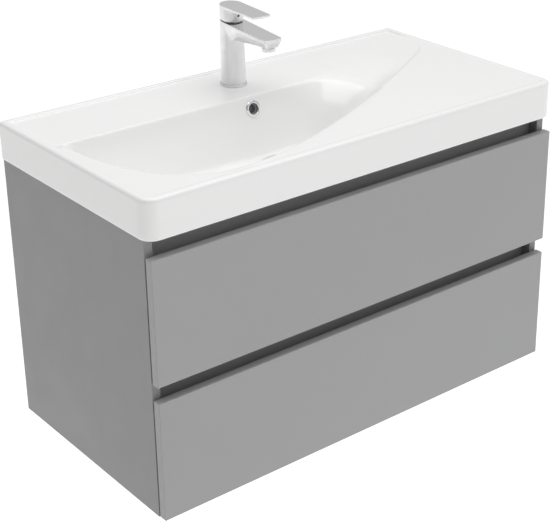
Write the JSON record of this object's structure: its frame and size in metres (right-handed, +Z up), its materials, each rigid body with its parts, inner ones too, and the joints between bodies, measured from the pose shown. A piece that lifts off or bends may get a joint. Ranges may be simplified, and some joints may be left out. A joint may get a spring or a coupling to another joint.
{
  "type": "bathroom vanity cabinet",
  "caption": "Wall-hung bathroom vanity with two full-width drawers, finger recesses, a ceramic basin with an off-centre leaf-shaped bowl and a single-lever mixer tap.",
  "frame": {"origin": "centre of the object's footprint at the underside of the cabinet", "axes": "+X to the right seen from the front, +Y to the wall, +Z up; the drawer fronts face -Y"},
  "size_m": [0.9, 0.464, 0.7233],
  "materials": {
    "carcass_grey": "smooth satin grey lacquer on board",
    "front_grey": "smooth satin grey lacquer on board",
    "drawer_board": "pale grey melamine-faced board",
    "zinc": "bright zinc plated",
    "chrome": "polished chrome plate on brass",
    "ceramic": "gloss white glaze",
    "rubber": "matt",
    "grey_plastic": "moulded",
    "white_plastic": "moulded",
    "brass": "machined",
    "index_red": "moulded"
  },
  "bodies": {
    "cabinet": {"side_panel_left": "carcass_grey", "side_panel_right": "carcass_grey", "bottom_panel": "carcass_grey", "rear_rail_upper": "carcass_grey", "rear_rail_lower": "carcass_grey", "recess_rail_upper": "front_grey", "recess_rail_middle": "front_grey", "cam_locks": "zinc", "hanger_housings": "grey_plastic", "hanger_hooks": "zinc", "wall_plates": "zinc", "basin": "ceramic", "overflow_ring": "chrome", "waste_body": "chrome", "waste_gasket": "rubber", "waste_nut": "grey_plastic", "trap_bottle": "white_plastic", "trap_inlet_nut": "white_plastic", "trap_outlet_pipe": "white_plastic", "tap_base_ring": "chrome", "tap_body": "chrome", "tap_dome": "chrome", "tap_cartridge": "white_plastic", "tap_aerator": "chrome", "tap_tails": "brass", "tap_fixing": "zinc", "upper_runner_outer_left": "zinc", "upper_runner_outer_right": "zinc", "lower_runner_outer_left": "zinc", "lower_runner_outer_right": "zinc"},
    "upper_drawer": {"upper_drawer_front": "front_grey", "upper_drawer_side_left": "drawer_board", "upper_drawer_side_right": "drawer_board", "upper_drawer_box_front": "drawer_board", "upper_drawer_back": "drawer_board", "upper_drawer_bottom": "drawer_board", "upper_drawer_screws": "zinc", "upper_runner_inner_left": "zinc", "upper_runner_inner_right": "zinc"},
    "lower_drawer": {"lower_drawer_front": "front_grey", "lower_drawer_side_left": "drawer_board", "lower_drawer_side_right": "drawer_board", "lower_drawer_box_front": "drawer_board", "lower_drawer_back": "drawer_board", "lower_drawer_bottom": "drawer_board", "lower_drawer_screws": "zinc", "lower_runner_inner_left": "zinc", "lower_runner_inner_right": "zinc"},
    "upper_runner_middles": {"upper_runner_middle_members": "zinc"},
    "lower_runner_middles": {"lower_runner_middle_members": "zinc"},
    "upper_outer_cages": {"upper_runner_outer_cages": "zinc"},
    "upper_inner_cages": {"upper_runner_inner_cages": "zinc"},
    "lower_outer_cages": {"lower_runner_outer_cages": "zinc"},
    "lower_inner_cages": {"lower_runner_inner_cages": "zinc"},
    "waste_plug": {"waste_plug": "chrome"},
    "mixer_carrier": {"tap_carrier": "grey_plastic"},
    "mixer_lever": {"tap_lever": "chrome", "tap_spindle": "brass", "tap_index_cap": "index_red"}
  },
  "joints": [
    {"name": "upper_drawer_slide", "type": "slide", "parent": "cabinet", "child": "upper_drawer", "axis": [0, -1, 0], "range_m": [0, 0.38]},
    {"name": "upper_middle_slide", "type": "slide", "parent": "cabinet", "child": "upper_runner_middles", "axis": [0, -1, 0], "range_m": [0, 0.19]},
    {"name": "upper_outer_cage_slide", "type": "slide", "parent": "cabinet", "child": "upper_outer_cages", "axis": [0, -1, 0], "range_m": [0, 0.095]},
    {"name": "upper_inner_cage_slide", "type": "slide", "parent": "cabinet", "child": "upper_inner_cages", "axis": [0, -1, 0], "range_m": [0, 0.285]},
    {"name": "lower_drawer_slide", "type": "slide", "parent": "cabinet", "child": "lower_drawer", "axis": [0, -1, 0], "range_m": [0, 0.38]},
    {"name": "lower_middle_slide", "type": "slide", "parent": "cabinet", "child": "lower_runner_middles", "axis": [0, -1, 0], "range_m": [0, 0.19]},
    {"name": "lower_outer_cage_slide", "type": "slide", "parent": "cabinet", "child": "lower_outer_cages", "axis": [0, -1, 0], "range_m": [0, 0.095]},
    {"name": "lower_inner_cage_slide", "type": "slide", "parent": "cabinet", "child": "lower_inner_cages", "axis": [0, -1, 0], "range_m": [0, 0.285]},
    {"name": "plug_lift", "type": "slide", "parent": "cabinet", "child": "waste_plug", "axis": [0, 0, 1], "range_m": [0, 0.008]},
    {"name": "lever_turn", "type": "hinge", "parent": "cabinet", "child": "mixer_carrier", "pos_m": [-0.013, 0.144, 0.6945], "axis": [0, 0, 1], "range_deg": [-48, 48]},
    {"name": "lever_lift", "type": "hinge", "parent": "mixer_carrier", "child": "mixer_lever", "pos_m": [-0.013, 0.144, 0.6945], "axis": [-1, 0, 0], "range_deg": [0, 25]}
  ],
  "couplings": [
    {"joint": "upper_middle_slide", "follows": "upper_drawer_slide", "ratio": 0.5},
    {"joint": "upper_outer_cage_slide", "follows": "upper_drawer_slide", "ratio": 0.25},
    {"joint": "upper_inner_cage_slide", "follows": "upper_drawer_slide", "ratio": 0.75},
    {"joint": "lower_middle_slide", "follows": "lower_drawer_slide", "ratio": 0.5},
    {"joint": "lower_outer_cage_slide", "follows": "lower_drawer_slide", "ratio": 0.25},
    {"joint": "lower_inner_cage_slide", "follows": "lower_drawer_slide", "ratio": 0.75}
  ]
}
